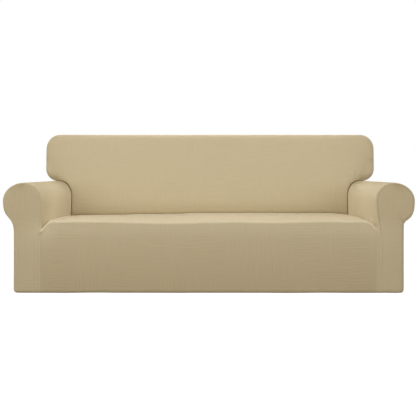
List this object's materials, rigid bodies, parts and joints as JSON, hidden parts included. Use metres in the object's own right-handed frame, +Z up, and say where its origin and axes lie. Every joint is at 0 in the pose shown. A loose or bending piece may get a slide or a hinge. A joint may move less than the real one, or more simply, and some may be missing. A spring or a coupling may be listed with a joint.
{
  "type": "sofa slipcover",
  "caption": "Fitted stretch slipcover for a three-seat sofa with rolled arms, hollow and open at the floor, with a T-shaped back and an elastic hem.",
  "frame": {"origin": "on the floor, under the middle of the cover", "axes": "+X to the right of someone facing the cover, along its length; +Y to the rear; +Z up"},
  "size_m": [2.256, 0.915, 0.9151],
  "materials": {
    "stretch_knit": "matt beige knit with a fine small-check texture"
  },
  "bodies": {
    "root": {"seat_and_skirt": "stretch_knit", "inside_back": "stretch_knit", "outside_back": "stretch_knit", "arm_wrap_left": "stretch_knit", "arm_wrap_right": "stretch_knit", "arm_front_left": "stretch_knit", "arm_front_right": "stretch_knit"}
  },
  "joints": []
}
